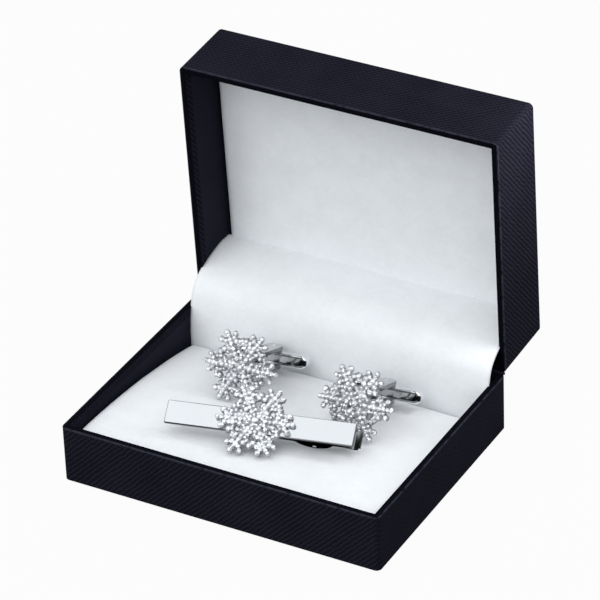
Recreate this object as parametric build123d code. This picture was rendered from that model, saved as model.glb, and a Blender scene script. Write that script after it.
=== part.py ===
from build123d import *
import os
from math import atan2, cos, degrees, hypot, radians, sin, sqrt

# A snap-hinged case for a tie clip and a pair of cufflinks, shown with its lid open.
# Sizes are in millimetres. The origin is the centre of the underside, +Z is up and the
# front of the case faces -Y.

# Case
box_width = 82.0
box_depth = 63.6
base_height = 14.5
lid_height = 18.5
lid_open_angle = 87.0
rim_gap = 0.3  # between the two rims when the lid is shut
corner_radius = 1.3
top_edge_radius = 0.5
rim_edge_radius = 0.12
wrap_thickness = 0.3
board_thickness = 1.0
liner_thickness = 0.25
floor_thickness = 1.0
turn_in = 2.2  # how far the wrap is folded down inside the rim
sheet_thickness = 0.3
sheet_inset = 1.0
wrap_lift = 0.1  # the wrap stops this far above the underside

# Pad in the base
pad_gap = 0.25
pad_card_thickness = 1.0
pad_cover_thickness = 0.6
pad_front_height = 12.1
pad_middle_height = 10.9
pad_valley_height = 5.3
pad_middle_place = 0.4  # share of the pad's depth, from the front
pad_roll = 1.6  # rounding of the pad's long edges
pad_side_drop = 1.3  # the crown falls by this much at the sides
pad_shoulder = 2.4
pad_shoulder_drop = 0.25
pad_draw_in = 0.5
hinge_bay = 5.9  # free depth behind the pad for the hinge

# Curtain over the hinge
curtain_gap = 0.3
curtain_thickness = 0.6
curtain_bulge = 2.0  # how far it leans forward of its foot
curtain_top_gap = 0.3
curtain_face_lean = 0.2  # share of the bulge reached at the face's middle
curtain_rises = [0.38, 0.7, 0.815, 0.88]  # shares of its rise: face, brow, turn, shoulder
curtain_turn_reach = 0.9  # from the brow back to the turn
curtain_shoulder_reach = 3.4
curtain_crown = 0.35  # the run to the lid's panel is bowed up by this much
curtain_end_lift = 0.3

# Lid panel
panel_depth = 13.0  # from the lid's rim to the panel's face
panel_cover_thickness = 0.5
panel_card_thickness = 1.2
panel_gap = 0.25
panel_roll = 1.2

# Hinge
hinge_width = 48.0
leaf_thickness = 0.5
leaf_reach = 9.6
knuckle_radius = 0.85
pin_radius = 0.45
knuckle_count = 5
knuckle_gap = 0.3
notch_clearance = 0.35
running_gap = 0.04
rivet_radius = 0.6
rivet_head_radius = 1.1
rivet_head_height = 0.35
rivet_spacing = 11.5
bow_width = 3.0
bow_thickness = 0.35
bow_offset = 30.0  # the two bow springs stand this far apart
bow_lug = 1.0
bow_rise = 0.36  # share of the span between its hooks
flange_setback = 0.1

# Snowflake
flake_radius = 9.5
flake_thickness = 1.0
stem_width = 1.15
prong_width = 0.95
prong_length = 2.5
prong_angle = 49.0
prong_root = 6.1
web_radius = 6.0  # of the disc of grains that joins the stems
opening_place = 4.4  # its six round openings lie this far out, between the stems
opening_radius = 0.95
grain_ring_radius = 5.6
bead_radius = 0.62
hub_bead_radius = 0.75
centre_bead_radius = 1.0
bead_ring_radius = 2.1

# Tie clip
bar_length = 44.6
bar_width = 5.6
bar_thickness = 0.9
bar_edge = 0.18
flake_offset = -1.0  # of the snowflake along the bar
clip_pivot_offset = 13.0  # from the bar's middle to the pivot
clip_pivot_drop = 1.9  # from the bar's underside to the pivot
clip_pin_radius = 0.45
bracket_length = 6.0
bracket_thickness = 0.6
bracket_base = 0.45
jaw_ear_radius = 1.15
cheek_length = 9.2  # of the bracket's two bowed cheeks, along the bar
cheek_depth = 3.4
jaw_width = 4.4
jaw_thickness = 0.5
jaw_floor_drop = 0.75  # from the pivot to the jaw's upper face
jaw_tip_offset = -17.0
jaw_tip_gap = 0.15
jaw_tooth_length = 1.2
jaw_tooth_depth = 0.5
jaw_mouth_drop = 0.2
jaw_heel_setback = 0.8
tail_length = 8.9  # from the pivot to the middle of the tail's curl
tail_curl_radius = 1.4
tail_curl_rise = 0.3  # of the curl's middle above the floor of the jaw
tail_curl_start = 40.0
tail_curl_end = 12.0
tail_curl_run = 1.4  # length of the bend that leads into the curl
ear_gap = 0.12
clip_spring_width = 1.5
clip_spring_thickness = 0.2

# Cufflinks
foot_radius = 3.1
foot_thickness = 1.2
post_radius = 1.15
post_length = 19.2  # from the middle of the snowflake to the toggle's pin
toggle_length = 18.6
toggle_depth = 4.0
toggle_height = 3.1
toggle_edge = 0.3
toggle_back_edge = 1.3  # rounding of the side away from the post
fork_thickness = 1.0
fork_half_width = 2.1
fork_gap = 0.15
fork_end_gap = 0.35
fork_bridge = 1.5
toggle_pin_radius = 0.45
slot_height = 1.7
slot_depth = 1.3
slot_end = 0.8
slot_corner = 0.6
detent_thickness = 0.2
detent_rise = 0.7  # share of the slot's depth

# Where things lie on the pad
clip_x = 0.95
clip_from_rear = 37.2  # from the pad's rear edge to the middle of the bar
clip_turn = 13.4
clip_lean = 35.0  # the bar's front edge is the lower one
clip_rest_gap = 4.95  # from the pad to the middle of the bar
cufflink_left_x = -13.2
cufflink_right_x = 17.8
cufflink_from_rear = 21.1
cufflink_stagger = 1.6  # the right one lies nearer the front by this much
cufflink_lean = 23.8
cufflink_turn = 4.8
cufflink_spin = 2.0  # the closure is turned about the post
rest_gap = 0.35

# Derived places
wall_thickness = wrap_thickness + board_thickness + liner_thickness
inner_front = -box_depth / 2 + wall_thickness
inner_rear = box_depth / 2 - wall_thickness
inner_half_width = box_width / 2 - wall_thickness
lid_top = base_height + rim_gap + lid_height
hinge_y = box_depth / 2
hinge_z = base_height + rim_gap / 2
base_floor = sheet_thickness + floor_thickness
pad_rear = inner_rear - hinge_bay
pad_front = inner_front + pad_gap
pad_half_width = inner_half_width - pad_gap
pad_bottom = base_floor + pad_card_thickness
clip_y = pad_rear - clip_from_rear
cufflink_y = pad_rear - cufflink_from_rear
panel_plane = base_height + rim_gap + panel_depth  # height of the panel's face, lid shut
hinge_axis = Axis((0, hinge_y, hinge_z), (-1, 0, 0))


def open_lid(shape):
    """Swing a lid piece from shut to its shown place."""
    return shape.rotate(hinge_axis, lid_open_angle)


def swung(y, z):
    """Where a (y, z) point of the shut lid lies once the lid is open."""
    turn = radians(lid_open_angle)
    dy = y - hinge_y
    dz = z - hinge_z
    return hinge_y + dy * cos(turn) + dz * sin(turn), hinge_z - dy * sin(turn) + dz * cos(turn)


def block(x0, x1, y0, y1, z0, z1):
    size = Box(x1 - x0, y1 - y0, z1 - z0)
    return Pos((x0 + x1) / 2, (y0 + y1) / 2, (z0 + z1) / 2) * size


def rounded_block(width, depth, z0, z1, radius):
    outline = RectangleRounded(width, depth, radius)
    return Pos(0, 0, z0) * extrude(outline, z1 - z0)


def case_block(inset, z0, z1):
    """The case's outline, drawn in by inset on every side."""
    radius = max(corner_radius - inset, 0.2)
    return rounded_block(box_width - 2 * inset, box_depth - 2 * inset, z0, z1, radius)


def ring_of(inset_outer, inset_inner, z0, z1):
    return case_block(inset_outer, z0, z1) - case_block(inset_inner, z0 - 1, z1 + 1)


def rod(radius, length, axis):
    """A round rod centred on the origin along X, Y or Z."""
    turns = {"x": (0, 90, 0), "y": (90, 0, 0), "z": (0, 0, 0)}
    return Rotation(*turns[axis]) * Cylinder(radius, length)


def circle_through(a, b, c):
    """Centre and radius of the circle through three (y, z) points."""
    d = 2 * (a[0] * (b[1] - c[1]) + b[0] * (c[1] - a[1]) + c[0] * (a[1] - b[1]))
    sa, sb, sc = (p[0] ** 2 + p[1] ** 2 for p in (a, b, c))
    cy = (sa * (b[1] - c[1]) + sb * (c[1] - a[1]) + sc * (a[1] - b[1])) / d
    cz = (sa * (c[0] - b[0]) + sb * (a[0] - c[0]) + sc * (b[0] - a[0])) / d
    return cy, cz, hypot(a[0] - cy, a[1] - cz)


pad_middle_y = pad_front + pad_middle_place * (pad_rear - pad_front)
pad_arc = circle_through(
    (pad_front, pad_front_height),
    (pad_middle_y, pad_middle_height),
    (pad_rear, pad_valley_height),
)


def pad_top(y):
    """Height of the pad's crown at a distance from the front."""
    cy, cz, radius = pad_arc
    return cz + sqrt(radius**2 - (y - cy) ** 2)


# Case trays, drawn with the closed side at z = 0 and the rim at z = height
def tray_wrap(height, closed):
    outer = case_block(0, 0 if closed else wrap_lift, height)
    if closed:
        outer = fillet(outer.edges().group_by(Axis.Z)[0], top_edge_radius)
    outer = fillet(outer.edges().group_by(Axis.Z)[-1], rim_edge_radius)
    core = case_block(wrap_thickness, wrap_thickness if closed else -1, height - wrap_thickness)
    inside = wall_thickness - liner_thickness
    mouth = case_block(inside, height - 2 * wrap_thickness, height + 1)
    fold = ring_of(inside, wall_thickness, height - turn_in, height)
    return outer - core - mouth + fold


def tray_board(height, bottom):
    outer = case_block(wrap_thickness, bottom, height - wrap_thickness)
    return outer - case_block(wall_thickness - liner_thickness, bottom + floor_thickness, height)


def tray_liner(height, bottom):
    inside = wall_thickness - liner_thickness
    return ring_of(inside, wall_thickness, bottom + floor_thickness, height - turn_in)


def turned_over(shape):
    """Place a tray upside down as the shut lid."""
    return Pos(0, 0, lid_top) * Rotation(180, 0, 0) * shape


notch_depth = knuckle_radius + notch_clearance - rim_gap / 2
notch_half = hinge_width / 2 + notch_clearance
base_notch = block(
    -notch_half, notch_half, inner_rear - 1, hinge_y + 1, base_height - notch_depth, base_height + 1
)
lid_rim = base_height + rim_gap
lid_notch = block(
    -notch_half, notch_half, inner_rear - 1, hinge_y + 1, lid_rim - 1, lid_rim + notch_depth
)


# Rivets through the leaf, the liner and the board
rivet_drop = leaf_reach * 0.7
rivet_places = [-rivet_spacing, 0, rivet_spacing]
rivet_front = inner_rear - leaf_thickness - rivet_head_height
rivet_back = box_depth / 2 - wrap_thickness


def rivets(z):
    """Rivets of one leaf, as shanks with round heads."""
    shank = rod(rivet_radius, rivet_back - rivet_front, "y")
    head = rod(rivet_head_radius, rivet_head_height, "y")
    middle = (rivet_front + rivet_back) / 2
    pieces = []
    for x in rivet_places:
        one = Pos(x, middle, z) * shank
        one += Pos(x, rivet_front + rivet_head_height / 2, z) * head
        pieces.append(one)
    return pieces


def rivet_holes(z):
    length = box_depth
    return [Pos(x, rivet_back - length / 2, z) * rod(rivet_radius, length, "y") for x in rivet_places]


def cut_all(shape, tools):
    for tool in tools:
        shape = shape - tool
    return shape


base_rivet_z = hinge_z - rivet_drop
lid_rivet_z = hinge_z + rivet_drop


# Hinge leaves: a plate inside the wall, a flange through the notch and rolled knuckles
knuckle_pitch = hinge_width / knuckle_count


def knuckle_spans(first):
    spans = []
    for i in range(first, knuckle_count, 2):
        start = -hinge_width / 2 + i * knuckle_pitch
        spans.append((start + knuckle_gap / 2, start + knuckle_pitch - knuckle_gap / 2))
    return spans


def hinge_leaf(side, first):
    """side is -1 for the base's leaf, which hangs down, and +1 for the lid's."""
    flange_near = rim_gap / 2 + notch_depth - notch_clearance * 0.6 - leaf_thickness
    flange_far = flange_near + leaf_thickness
    z_near = hinge_z + side * flange_near
    z_far = hinge_z + side * flange_far
    z_end = hinge_z + side * leaf_reach
    y0 = inner_rear - leaf_thickness
    half = hinge_width / 2
    flange_end = hinge_y - knuckle_radius - flange_setback
    leaf = block(-half, half, y0, inner_rear, min(z_near, z_end), max(z_near, z_end))
    leaf += block(-half, half, y0, flange_end, min(z_near, z_far), max(z_near, z_far))
    for x0, x1 in knuckle_spans(first):
        middle = (x0 + x1) / 2
        leaf += block(x0, x1, y0, hinge_y, min(z_near, z_far), max(z_near, z_far))
        leaf += block(
            x0, x1, hinge_y - leaf_thickness, hinge_y, min(hinge_z, z_far), max(hinge_z, z_far)
        )
        leaf += Pos(middle, hinge_y, hinge_z) * rod(knuckle_radius, x1 - x0, "x")
    bore = Pos(0, hinge_y, hinge_z) * rod(pin_radius + running_gap * max(side, 0), hinge_width + 2, "x")
    return leaf - bore


def bow_springs():
    """Two bowed strips, hooked over the leaves' ends, that snap the lid open or shut."""
    y_base = inner_rear - leaf_thickness - bow_thickness
    base_end = (y_base, hinge_z - leaf_reach + bow_lug)
    lid_end = swung(y_base, hinge_z + leaf_reach - bow_lug)
    middle = ((base_end[0] + lid_end[0]) / 2, (base_end[1] + lid_end[1]) / 2)
    along = (lid_end[0] - base_end[0], lid_end[1] - base_end[1])
    span = hypot(*along)
    rise = bow_rise * span
    crown = (middle[0] - along[1] / span * rise, middle[1] + along[0] / span * rise)
    arc = ThreePointArc((0, *base_end), (0, *crown), (0, *lid_end))
    inner = offset_arc(base_end, crown, lid_end, bow_thickness)
    outline = Wire([arc, Line(arc @ 1, inner @ 1), inner, Line(inner @ 0, arc @ 0)])
    strip = extrude(make_face(outline), bow_width / 2, dir=(1, 0, 0), both=True)
    return [Pos(side * bow_offset / 2, 0, 0) * strip for side in (-1, 1)]


def offset_arc(a, b, c, distance):
    """The arc through three (y, z) points, drawn again with a larger radius."""
    cy, cz, radius = circle_through(a, b, c)
    scale = (radius + distance) / radius
    moved = [(0, cy + (p[0] - cy) * scale, cz + (p[1] - cz) * scale) for p in (a, b, c)]
    return ThreePointArc(*moved)


# Pad: smooth crown from side to side, rolled edges, drawn in at the ends
def pad_section(x, inset, drop, draw, bottom):
    front = pad_front + inset + draw
    rear = pad_rear - inset - draw
    roll = pad_roll
    skin = inset + drop
    a = (front, bottom)
    b = (front, pad_top(front) - roll - skin)
    c = (front + roll, pad_top(front + roll) - skin)
    d = (rear - roll, pad_top(rear - roll) - skin)
    e = (rear, pad_top(rear) - roll - skin)
    f = (rear, bottom)
    top_mid = ((c[0] + d[0]) / 2, pad_top((c[0] + d[0]) / 2) - skin)
    near = roll * (1 - sqrt(0.5))
    front_mid = (front + near, c[1] - near - 0.1)
    rear_mid = (rear - near, (d[1] + e[1]) / 2 + 0.3 * roll)

    def at(p):
        return (x, p[0], p[1])

    edges = [
        Line(at(a), at(b)),
        ThreePointArc(at(b), at(front_mid), at(c)),
        ThreePointArc(at(c), at(top_mid), at(d)),
        ThreePointArc(at(d), at(rear_mid), at(e)),
        Line(at(e), at(f)),
        Line(at(f), at(a)),
    ]
    return make_face(Wire(edges))


def pad_form(inset, bottom):
    """Sections from the left side to the right; the crown rolls over at both sides."""
    half = pad_half_width - inset
    roll_steps = [(0, 1), (0.12, 0.6), (0.38, 0.25), (1, 0)]
    right = []
    for across, fall in roll_steps:
        x = half - across * pad_shoulder
        drop = pad_shoulder_drop + (pad_side_drop - pad_shoulder_drop) * fall
        right.append((x, drop, pad_draw_in * fall))
    right += [(0.6 * half, 0.45 * pad_shoulder_drop, 0), (0.28 * half, 0.1 * pad_shoulder_drop, 0)]
    left = [(-x, drop, draw) for x, drop, draw in right]
    stations = left + right[::-1]
    return loft([pad_section(x, inset, drop, draw, bottom) for x, drop, draw in stations], ruled=True)


# Curtain: a closed band from the floor behind the pad, over the bulge, to the lid's panel
def hinge_curtain():
    foot_y = pad_rear + curtain_gap
    panel_y, panel_z = swung(pad_rear, panel_plane)
    rise = panel_z - pad_valley_height
    brow_y = foot_y + curtain_bulge
    foot = (foot_y, base_floor)
    crease = (foot_y, pad_valley_height)
    reaches = [
        foot_y + curtain_face_lean * curtain_bulge,
        brow_y,
        brow_y + curtain_turn_reach,
        brow_y + curtain_shoulder_reach,
    ]
    heights = [pad_valley_height + share * rise for share in curtain_rises]
    face, brow, turn, shoulder = zip(reaches, heights)
    end = (panel_y - curtain_top_gap, panel_z + curtain_end_lift)
    run = ((shoulder[0] + end[0]) / 2, (shoulder[1] + end[1]) / 2 + curtain_crown)

    def inward(p, dy, dz):
        return (p[0] + dy * curtain_thickness, p[1] - dz * curtain_thickness)

    outer = [foot, crease, face, brow, turn, shoulder, run, end]
    steps = [(1, 0), (1, 0.05), (1, 0.1), (0.96, 0.3), (0.72, 0.7), (0.3, 0.95), (0.2, 1), (0, 1)]
    inner = [inward(p, dy, dz) for p, (dy, dz) in zip(outer, steps)]

    def face_path(points):
        at = [(0, p[0], p[1]) for p in points]
        return [
            Line(at[0], at[1]),
            ThreePointArc(at[1], at[2], at[3]),
            ThreePointArc(at[3], at[4], at[5]),
            ThreePointArc(at[5], at[6], at[7]),
        ]

    front = face_path(outer)
    back = face_path(inner)
    caps = [Line(front[0] @ 0, back[0] @ 0), Line(front[3] @ 1, back[3] @ 1)]
    outline = make_face(Wire(front + back + caps))
    return extrude(outline, pad_half_width, dir=(1, 0, 0), both=True)


# Lid panel, drawn with the lid shut
def lid_panel_piece(inset, z0, z1, rolled):
    x = inner_half_width - panel_gap - inset
    y0 = inner_front + panel_gap + inset
    y1 = pad_rear - inset
    panel = block(-x, x, y0, y1, z0, z1)
    if rolled:
        panel = fillet(panel.edges().group_by(Axis.Z)[0], panel_roll)
    return panel


# Snowflake: stems, a pierced web, forked tips and cast grains
prong_tip = (
    prong_root + prong_length * cos(radians(prong_angle)),
    prong_length * sin(radians(prong_angle)),
)
prong_tip_radius = hypot(*prong_tip)
prong_tip_angle = degrees(atan2(prong_tip[1], prong_tip[0]))


def snowflake():
    """Centred on the origin, facing +Z, with its back at half the thickness below."""
    stem = SlotOverall(2 * (flake_radius - bead_radius) + stem_width, stem_width)
    outline = Circle(web_radius)
    for k in range(6):
        outline -= Rotation(0, 0, 60 * k + 30) * Pos(opening_place, 0) * Circle(opening_radius)
    prong = Pos(prong_length / 2, 0) * SlotOverall(prong_length + prong_width, prong_width)
    tips = []
    for k in range(3):
        outline += Rotation(0, 0, 60 * k) * stem
    for k in range(6):
        for side in (-1, 1):
            leaning = Pos(prong_root, 0) * Rotation(0, 0, side * prong_angle) * prong
            outline += Rotation(0, 0, 60 * k) * leaning
            tips.append((prong_tip_radius, 60 * k + side * prong_tip_angle))
        tips.append((flake_radius - bead_radius, 60 * k))
        tips.append((grain_ring_radius, 60 * k))
        tips.append((grain_ring_radius, 60 * k + 30))
    flake = Pos(0, 0, -flake_thickness / 2) * extrude(outline, flake_thickness)
    for r, angle in tips:
        a = radians(angle)
        flake += Pos(r * cos(a), r * sin(a), 0.05) * Sphere(bead_radius)
    for k in range(6):
        a = radians(60 * k + 30)
        spot = Pos(bead_ring_radius * cos(a), bead_ring_radius * sin(a), flake_thickness / 2)
        flake += spot * Sphere(hub_bead_radius)
    flake += Pos(0, 0, flake_thickness / 2 + 0.1) * Sphere(centre_bead_radius)
    return flake - Pos(0, 0, -flake_thickness) * Box(30, 30, flake_thickness)


flake = snowflake()

# Tie clip, drawn with the bar along X and its underside at z = 0
clip_height = pad_top(clip_y) + clip_rest_gap
clip_place = Pos(clip_x, clip_y, clip_height) * Rotation(0, 0, clip_turn) * Rotation(clip_lean, 0, 0)
pivot_z = -clip_pivot_drop
jaw_top = pivot_z - jaw_floor_drop
jaw_bottom = jaw_top - jaw_thickness
bracket_half = jaw_width / 2 + ear_gap + bracket_thickness


def clip_bar():
    bar = block(-bar_length / 2, bar_length / 2, -bar_width / 2, bar_width / 2, 0, bar_thickness)
    return chamfer(bar.edges(), bar_edge)


def clip_bracket():
    """A saddle soldered under the bar, with two bowed cheeks that carry the pivot pin."""
    x0 = clip_pivot_offset - bracket_length / 2
    x1 = clip_pivot_offset + bracket_length / 2
    saddle = block(x0, x1, -bracket_half, bracket_half, -bracket_base, 0)
    rear = (clip_pivot_offset - cheek_length / 2, 0, 0)
    front = (clip_pivot_offset + cheek_length / 2, 0, 0)
    belly = ThreePointArc(rear, (clip_pivot_offset, 0, -cheek_depth), front)
    outline = make_face(Wire([belly, Line(front, rear)]))
    cheek = extrude(outline, bracket_thickness / 2, dir=(0, 1, 0), both=True)
    for side in (-1, 1):
        saddle += Pos(0, side * (bracket_half - bracket_thickness / 2), 0) * cheek
    hole = rod(clip_pin_radius + running_gap, 3 * bracket_half, "y")
    return saddle - Pos(clip_pivot_offset, 0, pivot_z) * hole


def clip_jaw():
    """A bent strip: a toothed tip under the bar, two ears at the pivot and a curled tail."""
    t = jaw_thickness
    tip_x = jaw_tip_offset
    heel_x = clip_pivot_offset - bracket_length / 2 - jaw_heel_setback
    curl = (clip_pivot_offset + tail_length, jaw_bottom + tail_curl_rise + t)
    bend_x = curl[0] - tail_curl_radius * cos(radians(tail_curl_start)) - tail_curl_run
    tip_top = -jaw_tip_gap
    throat_x = tip_x + 2 * jaw_tooth_length
    throat_top = tip_top - jaw_mouth_drop
    upper = [
        (tip_x, tip_top),
        (tip_x + jaw_tooth_length, tip_top - jaw_tooth_depth),
        (throat_x, throat_top),
        (heel_x, jaw_top),
        (bend_x, jaw_top),
    ]
    lower = [
        (bend_x - 0.3 * t, jaw_bottom),
        (heel_x - 0.4 * t, jaw_bottom),
        (throat_x, throat_top - t),
        (tip_x, tip_top - t),
    ]

    def on_curl(radius, angle):
        a = radians(angle)
        return (curl[0] + radius * cos(a), 0, curl[1] + radius * sin(a))

    def curl_arc(radius):
        ends = (180 + tail_curl_start, 270, 360 + tail_curl_end)
        return ThreePointArc(*[on_curl(radius, angle) for angle in ends])

    inner = curl_arc(tail_curl_radius - t / 2)
    outer = curl_arc(tail_curl_radius + t / 2)
    flats = [outer @ 0] + [Vector(x, 0, z) for x, z in lower + upper] + [inner @ 0]
    edges = [Line(a, b) for a, b in zip(flats, flats[1:])]
    outline = make_face(Wire(edges + [inner, Line(inner @ 1, outer @ 1), outer]))
    jaw = extrude(outline, jaw_width / 2, dir=(0, 1, 0), both=True)
    for side in (-1, 1):
        middle = side * (jaw_width / 2 - bracket_thickness / 2)
        ear = block(
            clip_pivot_offset - jaw_ear_radius,
            clip_pivot_offset + jaw_ear_radius,
            middle - bracket_thickness / 2,
            middle + bracket_thickness / 2,
            jaw_bottom,
            pivot_z,
        )
        lobe = rod(jaw_ear_radius * 0.85, bracket_thickness, "y")
        ear += Pos(clip_pivot_offset, middle, pivot_z) * lobe
        jaw += ear
    hole = rod(clip_pin_radius, 2 * jaw_width, "y")
    return jaw - Pos(clip_pivot_offset, 0, pivot_z) * hole


def clip_spring():
    """A leaf folded in front of the pin, one leg on the jaw and one under the bar."""
    t = clip_spring_thickness
    x0 = clip_pivot_offset - bracket_length / 2
    x1 = clip_pivot_offset - jaw_ear_radius - 0.3
    low = jaw_top
    high = -bracket_base
    fold = 1.2 * t
    points = [
        (x1, low),
        (x1, low + t),
        (x0 - 0.3, low + t),
        (x0 + fold, high - t),
        (x1, high - t),
        (x1, high),
        (x0, high),
        (x0 - 0.3 - fold, low + t),
        (x0 - 0.3 - fold, low),
    ]
    outline = Polyline(*[(px, 0, pz) for px, pz in points], close=True)
    return extrude(make_face(outline), clip_spring_width / 2, dir=(0, 1, 0), both=True)


# Cufflink, drawn with its snowflake at the origin facing +Z and the post along -Z
fork_half = toggle_height / 2 + fork_gap
fork_outer = fork_half + fork_thickness
fork_reach = toggle_length / 2 + fork_end_gap


def cufflink_foot():
    top = -flake_thickness / 2
    foot = Pos(0, 0, top - foot_thickness / 2) * Cylinder(foot_radius, foot_thickness)
    return chamfer(foot.edges().group_by(Axis.Z)[0], 0.5)


def cufflink_post():
    """A round neck that splits into a fork with two rounded cheeks."""
    neck_top = -flake_thickness / 2 - foot_thickness
    bridge_top = -post_length + fork_reach + fork_bridge
    bridge_bottom = bridge_top - fork_bridge
    post = Pos(0, 0, (neck_top + bridge_top) / 2) * Cylinder(post_radius, neck_top - bridge_top)
    half = fork_half_width
    post += block(-half, half, -fork_outer, fork_outer, bridge_bottom, bridge_top)
    for side in (-1, 1):
        middle = side * (fork_half + fork_thickness / 2)
        low = middle - fork_thickness / 2
        high = middle + fork_thickness / 2
        post += block(-half, half, low, high, -post_length, bridge_top)
        post += Pos(0, middle, -post_length) * rod(half, fork_thickness, "y")
    return post - Pos(0, 0, -post_length) * rod(toggle_pin_radius, 3 * fork_outer, "y")


def toggle_pin():
    return Pos(0, 0, -post_length) * rod(toggle_pin_radius, 2 * fork_outer + 0.3, "y")


def toggle():
    """A round-ended bar with a slot in the side that faces the post."""
    outline = SlotOverall(toggle_length, toggle_height)
    capsule = extrude(outline, toggle_depth / 2, both=True)
    capsule = fillet(capsule.edges().group_by(Axis.Z)[0], toggle_back_edge)
    capsule = fillet(capsule.edges().group_by(Axis.Z)[-1], toggle_edge)
    slot_floor = toggle_depth / 2 - slot_depth
    mouth = RectangleRounded(toggle_length - 2 * slot_end, slot_height, slot_corner)
    slot = Pos(0, 0, slot_floor) * extrude(mouth, toggle_depth)
    capsule = capsule - slot - rod(toggle_pin_radius + running_gap, 2 * toggle_height, "y")
    return Pos(0, 0, -post_length) * capsule


def toggle_detent():
    """A bowed leaf lying in the toggle's slot."""
    half = toggle_length / 2 - slot_end - slot_corner
    floor = toggle_depth / 2 - slot_depth
    t = detent_thickness
    points = [
        (1.1, floor),
        (half, floor),
        (half, floor + t),
        (half - 1.4, floor + t),
        (0.5 * half + 0.5, floor + slot_depth * detent_rise),
        (1.1, floor + t),
    ]
    outline = Polyline(*[(x, 0, z) for x, z in points], close=True)
    leaf = extrude(make_face(outline), slot_height / 2 - 0.15, dir=(0, 1, 0), both=True)
    return Pos(0, 0, -post_length) * leaf


def cufflink_place(x, y):
    """The lowest tips of the snowflake stand just clear of the pad."""
    lean = radians(cufflink_lean)
    reach = prong_tip_radius * cos(radians(30 - prong_tip_angle)) + bead_radius
    tip_y = y - reach * sin(lean)
    z = pad_top(tip_y) + rest_gap + reach * cos(lean)
    facing = Rotation(0, 0, cufflink_turn) * Rotation(90 - cufflink_lean, 0, 0)
    return Pos(x, y, z) * facing


nodes = {}

# Base
nodes["underside_sheet"] = case_block(sheet_inset, 0, sheet_thickness)
base_cuts = [base_notch] + rivet_holes(base_rivet_z)
nodes["base_board"] = cut_all(tray_board(base_height, sheet_thickness), base_cuts)
nodes["base_wrap"] = tray_wrap(base_height, False) - base_notch
nodes["base_liner"] = cut_all(tray_liner(base_height, sheet_thickness), base_cuts)
nodes["pad_card"] = block(
    -pad_half_width + pad_draw_in,
    pad_half_width - pad_draw_in,
    pad_front + pad_draw_in,
    pad_rear - pad_draw_in,
    base_floor,
    pad_bottom,
)
foam = pad_form(pad_cover_thickness, pad_bottom)
nodes["foam_block"] = foam
nodes["pad_cover"] = pad_form(0, pad_bottom) - pad_form(pad_cover_thickness, pad_bottom - 1)
nodes["hinge_curtain"] = hinge_curtain()
nodes["hinge_leaf_base"] = cut_all(hinge_leaf(-1, 0), rivet_holes(base_rivet_z))
nodes["hinge_pin"] = Pos(0, hinge_y, hinge_z) * rod(pin_radius, hinge_width, "x")
nodes["hinge_rivets_base"] = rivets(base_rivet_z)
nodes["bow_springs"] = bow_springs()

# Lid, drawn shut and swung open
lid_cuts = [lid_notch] + rivet_holes(lid_rivet_z)
shut_lid = {}
shut_lid["lid_wrap"] = turned_over(tray_wrap(lid_height, True)) - lid_notch
shut_lid["lid_board"] = cut_all(turned_over(tray_board(lid_height, wrap_thickness)), lid_cuts)
shut_lid["lid_liner"] = cut_all(turned_over(tray_liner(lid_height, wrap_thickness)), lid_cuts)
card_low = panel_plane + panel_cover_thickness
lid_ceiling = lid_top - wrap_thickness - floor_thickness
card_base = lid_ceiling - panel_card_thickness
cover = lid_panel_piece(0, panel_plane, lid_ceiling, True)
core = lid_panel_piece(panel_cover_thickness, card_low, lid_ceiling + 1, False)
shut_lid["lid_panel_cover"] = cover - core
shut_lid["lid_panel_foam"] = lid_panel_piece(panel_cover_thickness, card_low, card_base, False)
shut_lid["lid_panel_card"] = lid_panel_piece(panel_cover_thickness, card_base, lid_ceiling, False)
shut_lid["hinge_leaf_lid"] = cut_all(hinge_leaf(1, 1), rivet_holes(lid_rivet_z))
for name, shape in shut_lid.items():
    nodes[name] = open_lid(shape)
nodes["hinge_rivets_lid"] = [open_lid(one) for one in rivets(lid_rivet_z)]

# Tie clip
nodes["clip_bar"] = clip_place * clip_bar()
nodes["clip_bracket"] = clip_place * clip_bracket()
flake_seat = Pos(flake_offset, 0, bar_thickness + flake_thickness / 2)
nodes["clip_snowflake"] = clip_place * flake_seat * flake
nodes["clip_jaw"] = clip_place * clip_jaw()
nodes["clip_pivot_pin"] = clip_place * Pos(clip_pivot_offset, 0, pivot_z) * rod(
    clip_pin_radius, 2 * bracket_half + 0.3, "y"
)
nodes["clip_spring"] = clip_place * clip_spring()

# Cufflinks
places = {
    "left": cufflink_place(cufflink_left_x, cufflink_y),
    "right": cufflink_place(cufflink_right_x, cufflink_y - cufflink_stagger),
}
for side, place in places.items():
    turned = place * Rotation(0, 0, cufflink_spin)
    nodes[side + "_snowflake"] = place * flake
    nodes[side + "_foot"] = place * cufflink_foot()
    nodes[side + "_post"] = turned * cufflink_post()
    nodes[side + "_toggle_pin"] = turned * toggle_pin()
    nodes[side + "_toggle"] = turned * toggle()
    nodes[side + "_toggle_detent"] = turned * toggle_detent()

os.makedirs("parts", exist_ok=True)
for name, shape in nodes.items():
    solids = shape if isinstance(shape, list) else shape.solids()
    body = solids[0] if len(solids) == 1 else Compound(children=[s.solid() for s in solids])
    body.label = name
    export_step(body, f"parts/{name}.step")


def show(label, place, along):
    spot = (place * Pos(0, 0, 0)).position
    ahead = (place * Pos(*along)).position
    axis = ahead - spot
    print(label, [round(v, 4) for v in spot], [round(v, 6) for v in axis])


print("lid_hinge", [0, hinge_y, round(hinge_z, 4)], [-1, 0, 0])
show("clip_hinge", clip_place * Pos(clip_pivot_offset, 0, pivot_z), (0, 1, 0))
for side, place in places.items():
    show("toggle_" + side, place * Rotation(0, 0, cufflink_spin) * Pos(0, 0, -post_length), (0, 1, 0))
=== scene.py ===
from math import cos, hypot, pi, radians, sin
from random import Random

import bmesh
import bpy
from mathutils import Matrix, Vector, kdtree, noise


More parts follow.
